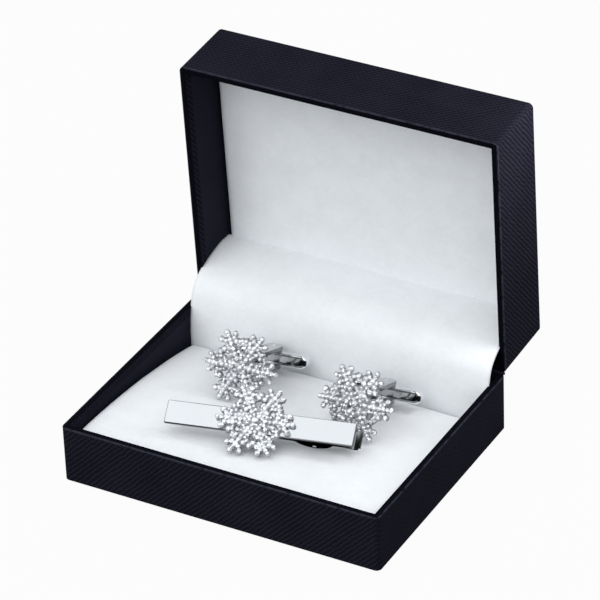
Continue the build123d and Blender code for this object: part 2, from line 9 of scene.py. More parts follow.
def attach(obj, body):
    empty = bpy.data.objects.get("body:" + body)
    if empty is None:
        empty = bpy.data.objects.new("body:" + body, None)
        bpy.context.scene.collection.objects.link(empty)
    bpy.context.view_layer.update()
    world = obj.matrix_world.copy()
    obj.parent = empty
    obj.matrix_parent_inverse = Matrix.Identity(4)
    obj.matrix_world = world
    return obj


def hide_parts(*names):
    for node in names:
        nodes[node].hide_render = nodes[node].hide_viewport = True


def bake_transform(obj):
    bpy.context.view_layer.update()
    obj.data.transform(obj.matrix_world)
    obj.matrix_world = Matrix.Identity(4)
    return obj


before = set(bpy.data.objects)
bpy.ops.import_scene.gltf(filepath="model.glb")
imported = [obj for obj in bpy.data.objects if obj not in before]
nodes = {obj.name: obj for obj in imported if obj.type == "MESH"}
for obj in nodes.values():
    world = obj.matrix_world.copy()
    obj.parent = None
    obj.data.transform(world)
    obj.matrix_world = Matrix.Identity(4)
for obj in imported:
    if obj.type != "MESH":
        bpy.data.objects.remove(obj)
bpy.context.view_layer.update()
mm = 0.001
openAngle = radians(87.0)
print("frame loaded:", len(nodes), "solids")

# The camera stands where the photographer stood, to the right of the front and above
camera = {
    "azimuth": 29.87,
    "elevation": 32.81,
    "roll": -2.26,
    "distance": 975.6,
    "shiftRight": 4.50,
    "shiftUp": 35.20,
    "lens": 252.4,
    "sensor": 36,
    "reach": (0.05, 20),  # nearest and farthest that it sees, in m
}


def placeCamera():
    a, e = radians(camera["azimuth"]), radians(camera["elevation"])
    back = Vector((sin(a) * cos(e), -cos(a) * cos(e), sin(e)))
    right = (-back).cross(Vector((0, 0, 1))).normalized()
    up = right.cross(-back)
    r = radians(camera["roll"])
    across = right * cos(r) + up * sin(r)
    upward = up * cos(r) - right * sin(r)
    spot = back * camera["distance"] + right * camera["shiftRight"] + up * camera["shiftUp"]
    lensData = bpy.data.cameras.new("camera")
    lensData.lens = camera["lens"]
    lensData.sensor_width = camera["sensor"]
    lensData.clip_start, lensData.clip_end = camera["reach"]
    eye = bpy.data.objects.new("camera", lensData)
    turn = Matrix((across, upward, back)).transposed()
    eye.matrix_world = Matrix.Translation(spot * mm) @ turn.to_4x4()
    bpy.context.scene.collection.objects.link(eye)
    bpy.context.scene.camera = eye


placeCamera()
print("camera placed")


# Shader maths: a socket that adds, multiplies and so on by making Math nodes
class Sock:
    def __init__(self, mat, out):
        self.mat = mat
        self.out = out

    def calc(self, operation, other=None, flip=False):
        values = [self, other] if not flip else [other, self]
        inputs = {i: v for i, v in enumerate(values) if v is not None}
        return self.mat.node("ShaderNodeMath", {"operation": operation}, inputs)

    def __add__(self, other):
        return self.calc("ADD", other)

    __radd__ = __add__

    def __sub__(self, other):
        return self.calc("SUBTRACT", other)

    def __rsub__(self, other):
        return self.calc("SUBTRACT", other, flip=True)

    def __mul__(self, other):
        return self.calc("MULTIPLY", other)

    __rmul__ = __mul__

    def sine(self):
        return self.calc("SINE")

    def size(self):
        return self.calc("ABSOLUTE")

    def between(self, low, high):  # 0 below low, 1 above high
        ramp = {"interpolation_type": "SMOOTHSTEP"}
        return self.mat.node("ShaderNodeMapRange", ramp, {0: self, 1: low, 2: high, 3: 0.0, 4: 1.0})


class Finish:
    def __init__(self, name, tree=None, **fixed):
        self.tree = tree
        if tree is None:
            self.material = bpy.data.materials.new(name)
            self.material.use_nodes = True
            self.tree = self.material.node_tree
            self.shader = self.tree.nodes["Principled BSDF"]
        for socket, value in fixed.items():
            self.set(socket, value)

    def set(self, socket, value):
        target = self.shader.inputs[socket.replace("_", " ")]
        self.feed(target, value)

    def feed(self, target, value):
        if isinstance(value, Sock):
            self.tree.links.new(value.out, target)
        elif hasattr(value, "__len__") and len(value) == 3 and target.type == "RGBA":
            target.default_value = (*value, 1)
        else:
            target.default_value = value

    def node(self, kind, settings, inputs, output=0):
        made = self.tree.nodes.new(kind)
        for key, value in settings.items():
            setattr(made, key, value)
        for key, value in inputs.items():
            self.feed(made.inputs[key], value)
        return Sock(self, made.outputs[output])

    def place(self):
        return self.node("ShaderNodeTexCoord", {}, {}, "Object")

    def turned(self, vector, turn, shift=(0, 0, 0)):
        return self.node("ShaderNodeMapping", {}, {0: vector, "Location": shift, "Rotation": turn})

    def parts(self, vector):
        split = self.node("ShaderNodeSeparateXYZ", {}, {0: vector}).out.node
        return [Sock(self, out) for out in split.outputs]

    def cloud(self, vector, scale, detail=3.0, rough=0.5):
        values = {"Vector": vector, "Scale": scale, "Detail": detail, "Roughness": rough}
        return self.node("ShaderNodeTexNoise", {}, values)

    def mix(self, share, first, second):
        values = {0: share, 6: first, 7: second}
        return self.node("ShaderNodeMix", {"data_type": "RGBA"}, values, 2)

    def bump(self, height, strength, distance, under=None):
        values = {"Strength": strength, "Distance": distance, "Height": height}
        if under is not None:
            values["Normal"] = under
        return self.node("ShaderNodeBump", {}, values)

    def attribute(self, name):
        return self.node("ShaderNodeAttribute", {"attribute_name": name}, {}, "Fac")


leatherLook = {
    "deep": (0.0072, 0.0071, 0.0120),
    "crest": (0.0195, 0.0190, 0.0295),
    # painted shade for the rim faces and the upright corners
    "rim": (0.0035, 0.0035, 0.0062),
    "worn": (0.034, 0.035, 0.050),
    "pitch": 0.97,  # of the ribs, in mm
    "endLean": 45.0,  # of the ribs on the front, in degrees from level
    "sideLean": 39.0,
    "topRibs": (0.92, 0.4),  # how the ribs on a flat top run, across and along
    "topHatch": (0.5, 0.87),
    "ribWander": 5.0,
    "hatchWander": 7.0,
    "grainScale": 2300,
    "roughness": 0.62,
    "depth": 0.00005,
    "specular": 0.005,
    "rubReach": 0.6,
    "halfWidth": 41.0,  # of the case's outside
    "halfDepth": 31.8,
}


# Embossed paper: slanting ribs broken up by a fine grain, paler where edges are rubbed, with painted shade
# on the rim faces and upright corners
def leatherette(name, turn, shift, rim):
    look = leatherLook
    f = Finish(name, Specular_IOR_Level=look["specular"])
    own = f.turned(f.place(), (turn, 0, 0), [s * mm for s in shift])
    wander = f.cloud(own, 420, 2) - 0.5
    x, y, z = f.parts(own)
    side = f.node("ShaderNodeTexCoord", {}, {}, "Normal")
    nx, ny, nz = f.parts(f.turned(side, (turn, 0, 0)))
    onSides = nx.size().between(0.6, 0.8)
    onEnds = ny.size().between(0.6, 0.8)
    onTop = nz.size().between(0.6, 0.8)
    wave = 2 * pi / (look["pitch"] * mm)
    ends, sides = radians(look["endLean"]), radians(look["sideLean"])
    ribs = onEnds * (z * cos(ends) - x * sin(ends)) + onSides * (z * cos(sides) - y * sin(sides))
    across, along = look["topRibs"]
    ribs = ribs + onTop * (y * across - x * along)
    counter = onEnds * (z * cos(ends) + x * sin(ends)) + onSides * (z * cos(sides) + y * sin(sides))
    across, along = look["topHatch"]
    counter = counter + onTop * (y * across + x * along)
    ribs = (ribs * wave + wander * look["ribWander"]).sine() * 0.5 + 0.5
    hatch = (counter * wave + wander * look["hatchWander"]).sine() * 0.5 + 0.5
    grain = f.cloud(own, look["grainScale"], 3)
    blotch = f.cloud(own, 90, 3)
    sharp = 0.42 - onTop * 0.26 + onSides * 0.18
    height = ribs * sharp + hatch * (0.12 + onTop * 0.12) + grain * (1.0 - sharp)
    reach = look["rubReach"] * mm
    nearSide = (look["halfWidth"] * mm - x.size()).between(reach, 0)
    nearEnd = (look["halfDepth"] * mm - y.size()).between(reach, 0)
    nearRim = (z - rim * mm).size().between(reach, reach * 0.3)
    rubbed = (nearSide * nearRim + nearEnd * nearRim).between(0.15, 1.0)
    rubbed = rubbed * f.cloud(own, 700, 2).between(0.2, 0.6)
    colour = f.mix((height + blotch * 0.4).between(0.48, 1.14), look["deep"], look["crest"])
    # Painted shade: the rim faces and the box's upright corners take the dark rim colour
    colour = f.mix(onTop * nearRim, colour, look["rim"])
    colour = f.mix((nearSide * nearEnd).between(0.05, 0.6) * 0.8, colour, look["rim"])
    f.set("Base Color", f.mix(rubbed, colour, look["worn"]))
    f.set("Roughness", look["roughness"] + grain * 0.16 - rubbed * 0.14)
    f.set("Normal", f.bump(height, 0.45, look["depth"]))
    return f.material


def liningPaper():
    f = Finish("liningPaper", Specular_IOR_Level=0.06)
    fibre = f.cloud(f.place(), 1500, 4, 0.6)
    f.set("Base Color", f.mix(fibre, (0.0060, 0.0062, 0.0130), (0.0120, 0.0122, 0.0235)))
    f.set("Roughness", 0.62 + fibre * 0.2)
    f.set("Normal", f.bump(fibre, 0.35, 0.00005))
    return f.material


# Short pile: fine flecks, tufts and broad brushed patches, up to 8 per cent darker than the tint
def velvet(name, tint):
    f = Finish(name, Specular_IOR_Level=0.15, Sheen_Weight=0.35, Sheen_Roughness=0.55)
    own = f.place()
    pile = f.cloud(own, 3800, 2, 0.65)
    brushed = f.cloud(own, 160, 3, 0.55)
    tufts = f.cloud(own, 900, 2, 0.6)
    dim = tuple(c * 0.92 for c in tint)
    blend = pile * 0.35 + brushed * 0.4 + tufts * 0.25
    f.set("Base Color", f.mix(blend.between(0.3, 0.68), dim, tint))
    f.set("Roughness", 0.93 + pile * 0.07)
    fine = f.bump(pile, 0.35, 0.00008)
    f.set("Normal", f.bump(tufts * 0.6 + brushed * 0.4, 0.25, 0.00025, fine))
    return f.material


def coolTone(tone):  # a grey with a trace of blue
    return [tone * c for c in (1.0, 1.008, 1.022)]


# Plate of one tone; patch is how much rougher the smears make it
def silver(name, tone, shine, patch):
    f = Finish(name, Metallic=1.0, Specular_Tint=(tone, tone, tone))
    own = f.place()
    smear = f.cloud(own, 320, 3, 0.6)
    scuff = f.cloud(own, 2400, 2, 0.6)
    f.set("Base Color", f.mix(smear, coolTone(0.91 * tone), coolTone(tone)))
    f.set("Roughness", shine + smear * patch + scuff * patch * 0.5)
    f.set("Normal", f.bump(scuff, 0.05, 0.00003))
    return f.material


# Silver with painted light: painted bright where its faces look along a direction, and painted shade on its
# other sides
def paintedSideLightSilver(name, way, bright, dark, shine, limits=(0.55, 0.9)):
    f = Finish(name, Metallic=1.0)
    smear = f.cloud(f.place(), 320, 3, 0.6)
    side = f.parts(f.node("ShaderNodeTexCoord", {}, {}, "Normal"))
    facing = side[0] * way[0] + side[1] * way[1] + side[2] * way[2]
    face = facing.between(*limits)
    pale = f.mix(smear, coolTone(0.96 * bright), coolTone(bright))
    f.set("Base Color", f.mix(face, coolTone(dark), pale))
    f.set("Roughness", 0.24 - face * (0.24 - shine) + smear * 0.04)
    return f.material


def leaning(turn, lean):  # how a jewel lies: leant back from level, then turned about the upright
    return Matrix.Rotation(radians(turn), 4, "Z") @ Matrix.Rotation(radians(lean), 4, "X")


def tilted(lie, way):
    return lie.to_3x3() @ Vector(way)


clipLie = leaning(13.4, 35)
cufflinkLie = leaning(4.8, 66.2)


# Granulated plate: darker between the grains, partly tarnish and partly painted shade, with a painted
# highlight on their crowns
def castSilver():
    f = Finish("castSilver", Metallic=1.0)
    own = f.place()
    pits = f.cloud(own, 3000, 2, 0.6)
    paintedCrownLight = f.attribute("paintedCrownLight")
    # painted shade between the grains, painted highlight on the crowns
    body = f.mix(paintedCrownLight.between(0.0, 0.5), (0.40, 0.405, 0.42), (0.76, 0.765, 0.78))
    f.set("Base Color", f.mix(paintedCrownLight.between(0.74, 1.0), body, (0.92, 0.925, 0.94)))
    f.set("Roughness", 0.30 - paintedCrownLight * 0.10 + pits * 0.12)
    f.set("Normal", f.bump(pits, 0.12, 0.00006))
    return f.material


def springSteel():
    f = Finish("springSteel", Metallic=1.0)
    own = f.node("ShaderNodeMapping", {}, {0: f.place(), "Scale": (0.08, 1, 1)})
    drawn = f.cloud(own, 4200, 3, 0.6)
    f.set("Base Color", f.mix(drawn, (0.44, 0.44, 0.46), (0.60, 0.60, 0.62)))
    f.set("Roughness", 0.26 + drawn * 0.16)
    f.set("Normal", f.bump(drawn, 0.12, 0.00003))
    return f.material


def greyBoard():
    f = Finish("greyBoard", Specular_IOR_Level=0.2)
    fibre = f.cloud(f.place(), 1800, 4, 0.65)
    f.set("Base Color", f.mix(fibre, (0.26, 0.24, 0.21), (0.40, 0.37, 0.33)))
    f.set("Roughness", 0.85 + fibre * 0.12)
    f.set("Normal", f.bump(fibre, 0.4, 0.0001))
    return f.material


def softFoam():
    f = Finish("softFoam", Specular_IOR_Level=0.15)
    cells = f.cloud(f.place(), 2600, 2, 0.7)
    f.set("Base Color", f.mix(cells.between(0.3, 0.7), (0.58, 0.58, 0.54), (0.78, 0.78, 0.74)))
    f.set("Roughness", 0.9 + cells * 0.1)
    f.set("Normal", f.bump(cells, 0.6, 0.0002))
    return f.material


looks = {
    "baseLeatherette": leatherette("baseLeatherette", 0.0, (0, 0, 0), 14.5),
    "lidLeatherette": leatherette("lidLeatherette", openAngle, (0, 44.766, -17.873), 14.8),
    "lining": liningPaper(),
    "padVelvet": velvet("padVelvet", (0.84, 0.85, 0.86)),
    # The lid panel and hinge curtain take the pad's white velvet with a lighter tint: painted light
    "panelVelvetPaintedLight": velvet("panelVelvetPaintedLight", (0.92, 0.935, 0.95)),
    # The tie bar has painted light: painted bright on its top face and painted near-black shade on its
    # other faces
    "barSilverPaintedLight": paintedSideLightSilver("barSilverPaintedLight", tilted(clipLie, (0, 0, 1)), 0.75, 0.07, 0.05),
    # The jaw has painted light: painted bright on its front faces and painted shade on its other faces
    "jawSilverPaintedLight": paintedSideLightSilver("jawSilverPaintedLight", tilted(clipLie, (0, -1, 0)), 0.97, 0.26, 0.16, (0.3, 0.7)),
    # The posts and feet have painted light: painted bright on faces along the cufflink's own y, painted
    # shade on the rest
    "cheekSilverPaintedLight": paintedSideLightSilver("cheekSilverPaintedLight", tilted(cufflinkLie, (0, 1, 0)), 0.60, 0.30, 0.30),
    "brightSilver": silver("brightSilver", 0.97, 0.06, 0.05),
    # The clip's bracket under the bar is silver painted near black: painted shade
    "paintedShadeSilver": silver("paintedShadeSilver", 0.03, 0.10, 0.10),
    "slotShadow": silver("slotShadow", 0.02, 0.30, 0.10),
    "leafSilver": silver("leafSilver", 0.97, 0.26, 0.08),
    "castSilver": castSilver(),
    "springSteel": springSteel(),
    "greyBoard": greyBoard(),
    "softFoam": softFoam(),
}
print("finishes made:", len(looks))


# Making, joining and dressing pieces
def newPiece(name, bm, material, body, smooth=True):
    mesh = bpy.data.meshes.new(name)
    for face in bm.faces:
        face.smooth = smooth
    bm.to_mesh(mesh)
    bm.free()
    mesh.materials.append(material)
    piece = bpy.data.objects.new(name, mesh)
    bpy.context.scene.collection.objects.link(piece)
    if body:
        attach(piece, body)
    return piece


def dress(node, material):
    mesh = nodes[node].data
    mesh.materials.clear()
    mesh.materials.append(material)


for node, look in {
    "underside_sheet": "lining",
    "base_board": "greyBoard",
    "base_wrap": "baseLeatherette",
    "base_liner": "lining",
    "pad_card": "greyBoard",
    "foam_block": "softFoam",
    "pad_cover": "padVelvet",
    "hinge_curtain": "panelVelvetPaintedLight",
    "hinge_leaf_base": "springSteel",
    "hinge_pin": "springSteel",
    "hinge_rivets_base": "springSteel",
    "bow_springs": "springSteel",
    "lid_wrap": "lidLeatherette",
    "lid_board": "greyBoard",
    "lid_liner": "lining",
    "lid_panel_cover": "panelVelvetPaintedLight",
    "lid_panel_foam": "softFoam",
    "lid_panel_card": "greyBoard",
    "hinge_leaf_lid": "springSteel",
    "hinge_rivets_lid": "springSteel",
    "clip_bar": "barSilverPaintedLight",
    "clip_bracket": "paintedShadeSilver",
    "clip_snowflake": "castSilver",
    "clip_jaw": "jawSilverPaintedLight",
    "clip_pivot_pin": "brightSilver",
    "clip_spring": "springSteel",
}.items():
    dress(node, looks[look])
for side in ("left", "right"):
    dress(side + "_snowflake", looks["castSilver"])
    dress(side + "_toggle_detent", looks["springSteel"])
    dress(side + "_foot", looks["cheekSilverPaintedLight"])
    dress(side + "_post", looks["cheekSilverPaintedLight"])
    dress(side + "_toggle_pin", looks["brightSilver"])
    dress(side + "_toggle", looks["brightSilver"])
print("solids dressed")


# Pads: a sheet of velvet pulled over foam, with its edges rolled down out of sight
case = {
    "hingeY": 31.8,
    "hingeZ": 14.65,
    "halfWidth": 39.2,
    "front": -30.0,
    "rear": 24.35,
}
padLook = {
    "frontHeight": 12.1,
    "middleHeight": 10.9,
    "rearHeight": 5.3,
    "middleShare": 0.4,
    "roll": 1.9,
    "bottom": 2.3,
    "sideDrop": 0.25,
    "ripple": 0.07,
    "grid": (120, 90),
    "seed": 3.0,
}
panelLook = {
    "face": 27.8,
    "back": 31.9,
    "roll": 1.5,
    "ripple": 0.10,
    "grid": (110, 80),
    "seed": 9.0,
}
hem = 3  # what hangs down past the rolled edge
cornerDraw = 0.35  # share of the lesser fall that a corner takes on top of the greater


def lidTurned(y, z):  # where a point of the shut lid lies once it is open
    dy, dz = y - case["hingeY"], z - case["hingeZ"]
    return (
        case["hingeY"] + dy * cos(openAngle) + dz * sin(openAngle),
        case["hingeZ"] - dy * sin(openAngle) + dz * cos(openAngle),
    )


def padTop(y):
    span = case["rear"] - case["front"]
    t = (y - case["front"]) / span
    m = padLook["middleShare"]
    heights = padLook["frontHeight"], padLook["middleHeight"], padLook["rearHeight"]
    return (
        heights[0] * (t - m) * (t - 1) / m
        + heights[1] * t * (t - 1) / (m * (m - 1))
        + heights[2] * t * (t - m) / (1 - m)
    )


def rolledEdge(share, half, roll):
    # a point on the sheet, by its share of the way from the middle to the hem
    flat = half - roll
    length = flat + roll * pi / 2 + hem
    way = abs(share) * length
    sign = 1 if share >= 0 else -1
    if way < flat:
        return sign * way, 0
    turn = min((way - flat) / roll, pi / 2)
    fall = max(0, way - flat - roll * pi / 2)
    return sign * (flat + roll * sin(turn)), roll * (1 - cos(turn)) + fall


def pillow(look, y0, y1, top, bottom):
    bm = bmesh.new()
    columns, rows = look["grid"]
    bmesh.ops.create_grid(bm, x_segments=columns, y_segments=rows, size=1)
    middle, halfDepth = (y0 + y1) / 2, (y1 - y0) / 2
    roll = look["roll"]
    for v in bm.verts:
        x, fallX = rolledEdge(v.co.x, case["halfWidth"], roll)
        y, fallY = rolledEdge(v.co.y, halfDepth, roll)
        y += middle
        puff = noise.noise(Vector((x * 0.11, y * 0.11, look["seed"]))) * look["ripple"]
        z = top(x, y) + puff - max(fallX, fallY) - cornerDraw * min(fallX, fallY)
        v.co = Vector((x, y, max(z, bottom)))
    rim = [e for e in bm.edges if e.is_boundary]
    bmesh.ops.contextual_create(bm, geom=rim)
    bmesh.ops.recalc_face_normals(bm, faces=bm.faces)
    return bm


def crownedTop(x, y):
    side = (x / case["halfWidth"]) ** 2
    return padTop(y) - padLook["sideDrop"] * side


def makePad():
    bm = pillow(padLook, case["front"], case["rear"], crownedTop, padLook["bottom"])
    bmesh.ops.scale(bm, vec=(mm, mm, mm), verts=bm.verts)
    pad = newPiece("velvetPad", bm, looks["padVelvet"], "base")
    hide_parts("pad_cover", "foam_block")


def makePanel():
    look = panelLook
    depth = look["back"] - look["face"]
    bm = pillow(look, -case["rear"], -case["front"], lambda x, y: 0, -depth)
    for v in bm.verts:
        y, z = lidTurned(-v.co.y, look["face"] - v.co.z)
        v.co = Vector((v.co.x, y, z)) * mm
    panel = newPiece("lidPanelVelvet", bm, looks["panelVelvetPaintedLight"], "lid")
    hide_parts("lid_panel_cover", "lid_panel_foam")


curtainLook = {
    "profile": [
        (24.65, 1.5),
        (24.62, 4.6),
        (24.72, 8.0),
        (25.10, 12.0),
        (25.85, 15.4),
        (26.80, 18.0),
        (28.35, 20.0),
        (31.10, 21.7),
        (35.80, 23.2),
        (40.40, 24.0),
        (44.75, 23.95),
    ],
    "halfWidth": 39.6,
    "thickness": 0.5,
    "columns": 90,
    "rows": 70,
    "ripple": 0.12,
}


def curvePoint(points, share):
    # a point on a smooth line through all the points
    place = share * (len(points) - 1)
    i = min(int(place), len(points) - 2)
    t = place - i
    p = [points[max(0, min(len(points) - 1, i + k))] for k in (-1, 0, 1, 2)]
    return [
        0.5
        * (
            2 * p[1][a]
            + (p[2][a] - p[0][a]) * t
            + (2 * p[0][a] - 5 * p[1][a] + 4 * p[2][a] - p[3][a]) * t * t
            + (3 * p[1][a] - p[0][a] - 3 * p[2][a] + p[3][a]) * t**3
        )
        for a in (0, 1)
    ]


def makeCurtain():
    look = curtainLook
    bm = bmesh.new()
    bmesh.ops.create_grid(bm, x_segments=look["columns"], y_segments=look["rows"], size=1)
    line = [curvePoint(look["profile"], step / look["rows"]) for step in range(look["rows"] + 1)]
    length = sum(hypot(b[0] - a[0], b[1] - a[1]) for a, b in zip(line, line[1:]))
    for v in bm.verts:
        share = (v.co.y + 1) / 2
        x = v.co.x * look["halfWidth"]
        y, z = curvePoint(look["profile"], share)
        free = sin(pi * share)
        puff = noise.noise(Vector((x * 0.05, share * 3, 5.0))) * look["ripple"] * free
        v.co = Vector((x, y - puff, z + puff)) * mm
    bmesh.ops.recalc_face_normals(bm, faces=bm.faces)
    if sum(f.normal.y for f in bm.faces) > 0:
        bmesh.ops.reverse_faces(bm, faces=bm.faces)
    curtain = newPiece("hingeCurtainVelvet", bm, looks["panelVelvetPaintedLight"], None)
    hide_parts("hinge_curtain")
    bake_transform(curtain)
    wall = curtain.modifiers.new("cloth", "SOLIDIFY")
    wall.thickness = look["thickness"] * mm
    wall.offset = -1
    flat = (2 * look["halfWidth"] * mm, length * mm)
    print("curtain cut to", [round(s / mm, 1) for s in flat], "mm")


makePad()
makePanel()
makeCurtain()
print("velvet made")


# A rolled edge of the covering fills the joint between the rims, round the hinge's axis
weltLook = {
    "halfWidth": 40.7,
    "radius": 0.34,
}


def makeWelt():
    look = weltLook
    bm = bmesh.new()
    place = Matrix.Translation((0, case["hingeY"], case["hingeZ"])) @ Matrix.Rotation(radians(90), 4, "Y")
    bmesh.ops.create_cone(
        bm, cap_ends=True, segments=20, radius1=look["radius"], radius2=look["radius"],
        depth=2 * look["halfWidth"], matrix=place
    )
    bmesh.ops.scale(bm, vec=(mm, mm, mm), verts=bm.verts)
    newPiece("rimWelt", bm, looks["lining"], "base")


makeWelt()


# Snap hinge: two bowed strips that straighten along the rear wall as the lid shuts; here they are made only
# in their bowed shape
springLook = {
    "centre": (36.763, 9.940),
    "radius": 8.283,
    "firstAngle": 208.01,
    "lastAngle": 64.99,
    "thickness": 0.35,
    "width": 3.0,
    "offset": 15.0,
    "steps": 28,
}


def makeSprings():
    look = springLook
    bm = bmesh.new()
    centre = Vector((0, *look["centre"]))
    first, last = radians(look["firstAngle"]), radians(look["lastAngle"])
    reach = look["radius"] + look["thickness"] / 2
    for side in (-1, 1):
        # the strip's section is a flat rectangle, swung about the middle of the bow
        place = Matrix.Translation(centre + Vector((side * look["offset"], 0, 0)))
        place = place @ Matrix.Rotation(first, 4, "X") @ Matrix.Translation((0, reach, 0))
        place = place @ Matrix.Diagonal((look["width"], look["thickness"], 1, 1))
        bmesh.ops.create_grid(bm, x_segments=1, y_segments=1, size=0.5, matrix=place)
    bmesh.ops.delete(bm, geom=bm.faces[:], context="FACES_ONLY")
    bmesh.ops.spin(
        bm, geom=bm.verts[:] + bm.edges[:], cent=centre, axis=(1, 0, 0),
        angle=last - first, steps=look["steps"], use_merge=False
    )
    bmesh.ops.holes_fill(bm, edges=[e for e in bm.edges if e.is_boundary], sides=4)
    bmesh.ops.recalc_face_normals(bm, faces=bm.faces)
    bmesh.ops.scale(bm, vec=(mm, mm, mm), verts=bm.verts)
    springs = newPiece("bowSprings", bm, looks["springSteel"], None, smooth=False)
    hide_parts("bow_springs")
    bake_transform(springs)
    print("springs made")


makeSprings()


# Snowflakes: cast grains that run into each other, on stems with three-pronged tips
flakeLook = {
    "webReach": 6.45,
    "webGap": 0.92,  # least distance between the middles of two grains
    "webSizes": (0.38, 0.74),
    "openings": 6,
    "openingPlace": 4.35,
    "openingRadius": 0.52,
    "centreSize": 0.85,
    "armGrains": [  # place along the arm, size
        (2.3, 0.70),
        (3.5, 0.64),
        (4.7, 0.66),
        (5.85, 0.70),
        (6.9, 0.72),
        (7.9, 0.64),
        (8.80, 0.72),
    ],
    "prongGrains": [(7.10, 8.6, 0.62), (7.98, 14.0, 0.72)],  # place, angle from the arm, size
    "stemRadius": 0.56,
    "armLength": 8.8,
    "prongRoot": 6.2,
    "seat": 0.20,  # how much wider the plate under a grain is
    "low": -0.28,
    "back": -0.50,
    "voxel": 0.12,
    "dents": 0.22,
    "attempts": 2600,  # to fit one more grain into the web
    "stray": 0.06,  # of a grain from its place, in mm
    "turnStray": 0.7,  # in degrees
    "sizeShares": (0.86, 1.06),
}


def flakeGrains(seed):
    look = flakeLook
    draw = Random(seed)
    grains = []

    def add(radius, angle, size, lift):
        r = radius + draw.uniform(-look["stray"], look["stray"])
        a = radians(angle + draw.uniform(-look["turnStray"], look["turnStray"]))
        s = size * draw.uniform(*look["sizeShares"])
        grains.append((r * cos(a), r * sin(a), lift + draw.uniform(-0.06, 0.08), s))

    add(0, 0, look["centreSize"], 0.38)
    for arm in range(6):
        turn = 60 * arm
        for radius, size in look["armGrains"]:
            add(radius, turn, size, 0.30 - 0.025 * radius)
        for side in (-1, 1):
            for radius, angle, size in look["prongGrains"]:
                add(radius, turn + side * angle, size, 0.08)

    # the web is filled with loose grains, as many as fit
    holes = []
    for k in range(look["openings"]):
        a = radians(360 / look["openings"] * (k + 0.5))
        holes.append((look["openingPlace"] * cos(a), look["openingPlace"] * sin(a)))
    for attempt in range(look["attempts"]):
        r = look["webReach"] * draw.random() ** 0.5
        a = draw.uniform(0, 2 * pi)
        x, y = r * cos(a), r * sin(a)
        size = draw.uniform(*look["webSizes"])
        if any(hypot(x - g[0], y - g[1]) < look["webGap"] * (size + g[3]) / 1.2 for g in grains):
            continue
        if any(hypot(x - h[0], y - h[1]) < look["openingRadius"] + size * 0.9 for h in holes):
            continue
        grains.append((x, y, draw.uniform(-0.05, 0.16), size))
    return grains


def rodBetween(bm, a, b, radius):
    middle, along = (a + b) / 2, b - a
    turn = along.to_track_quat("Z", "Y").to_matrix().to_4x4()
    place = Matrix.Translation(middle) @ turn
    bmesh.ops.create_cone(
        bm, cap_ends=True, segments=12, radius1=radius, radius2=radius, depth=along.length, matrix=place
    )


def polar(radius, angle, z):
    return Vector((radius * cos(angle), radius * sin(angle), z))


def flakeBacking(bm, grains):
    look = flakeLook
    low, back = look["low"], look["back"]
    for arm in range(6):
        a = radians(60 * arm)
        rodBetween(bm, polar(0, 0, low), polar(look["armLength"], a, low), look["stemRadius"])
        for side in (-1, 1):
            reach, angle = look["prongGrains"][1][:2]
            tip = polar(reach, a + side * radians(angle), low)
            rodBetween(bm, polar(look["prongRoot"], a, low), tip, look["stemRadius"])
    for x, y, z, size in grains:
        if hypot(x, y) < look["webReach"] + 0.2:
            rodBetween(bm, Vector((x, y, back - 0.2)), Vector((x, y, -0.02)), size + look["seat"])


def makeFlake(name, node, body, place, seed):
    look = flakeLook
    grains = flakeGrains(seed)
    bm = bmesh.new()
    for x, y, z, size in grains:
        bmesh.ops.create_icosphere(
            bm, subdivisions=3, radius=size, matrix=Matrix.Translation((x, y, z))
        )
    flakeBacking(bm, grains)
    rough = bpy.data.meshes.new(name + "Rough")
    bm.to_mesh(rough)
    bm.free()
    holder = bpy.data.objects.new(name + "Rough", rough)
    bpy.context.scene.collection.objects.link(holder)
    fused = holder.modifiers.new("fused", "REMESH")
    fused.mode = "VOXEL"
    fused.voxel_size = look["voxel"]
    eased = holder.modifiers.new("eased", "SMOOTH")
    eased.factor = 0.5
    eased.iterations = 1
    graph = bpy.context.evaluated_depsgraph_get()
    cast = bpy.data.meshes.new_from_object(holder.evaluated_get(graph))
    bm = bmesh.new()
    bm.from_mesh(cast)
    bpy.data.objects.remove(holder)
    near = kdtree.KDTree(len(grains))
    for i, grain in enumerate(grains):
        near.insert((grain[0], grain[1], 0), i)
    near.balance()
    # A share that is 1 on a grain's top and falls to 0 between the grains and towards the back; the plate
    # paints its shade and highlight from it
    paintedCrownLight = bm.verts.layers.float.new("paintedCrownLight")
    bm.normal_update()
    for v in bm.verts:
        v.co += v.normal * noise.noise(v.co * 2.6 + Vector((seed, 0, 0))) * look["dents"]
        v.co.z = max(v.co.z, look["back"])
        i, gap = near.find((v.co.x, v.co.y, 0))[1:]
        share = 1 - min(1, max(0, gap / grains[i][3] - 0.35) / 0.75)
        v[paintedCrownLight] = share * min(1, max(0.0, (v.co.z + 0.4) / 0.7))
    bmesh.ops.transform(bm, matrix=Matrix.Scale(mm, 4) @ place, verts=bm.verts)
    piece = newPiece(name, bm, looks["castSilver"], body)
    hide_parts(node)


jewelPlaces = {
    "clip": Matrix.Translation((0.95, -12.85, 16.2693)) @ clipLie,
    "left": Matrix.Translation((-13.2, 3.25, 17.8448)) @ cufflinkLie,
    "right": Matrix.Translation((17.8, 1.65, 18.0569)) @ cufflinkLie,
}
clipSeat = Matrix.Translation((-1.0, 0, 1.4))
makeFlake("clipSnowflake", "clip_snowflake", "clip_front", jewelPlaces["clip"] @ clipSeat, 11)
makeFlake("leftSnowflake", "left_snowflake", "cufflink_left", jewelPlaces["left"], 12)
makeFlake("rightSnowflake", "right_snowflake", "cufflink_right", jewelPlaces["right"], 13)
print("snowflakes made")


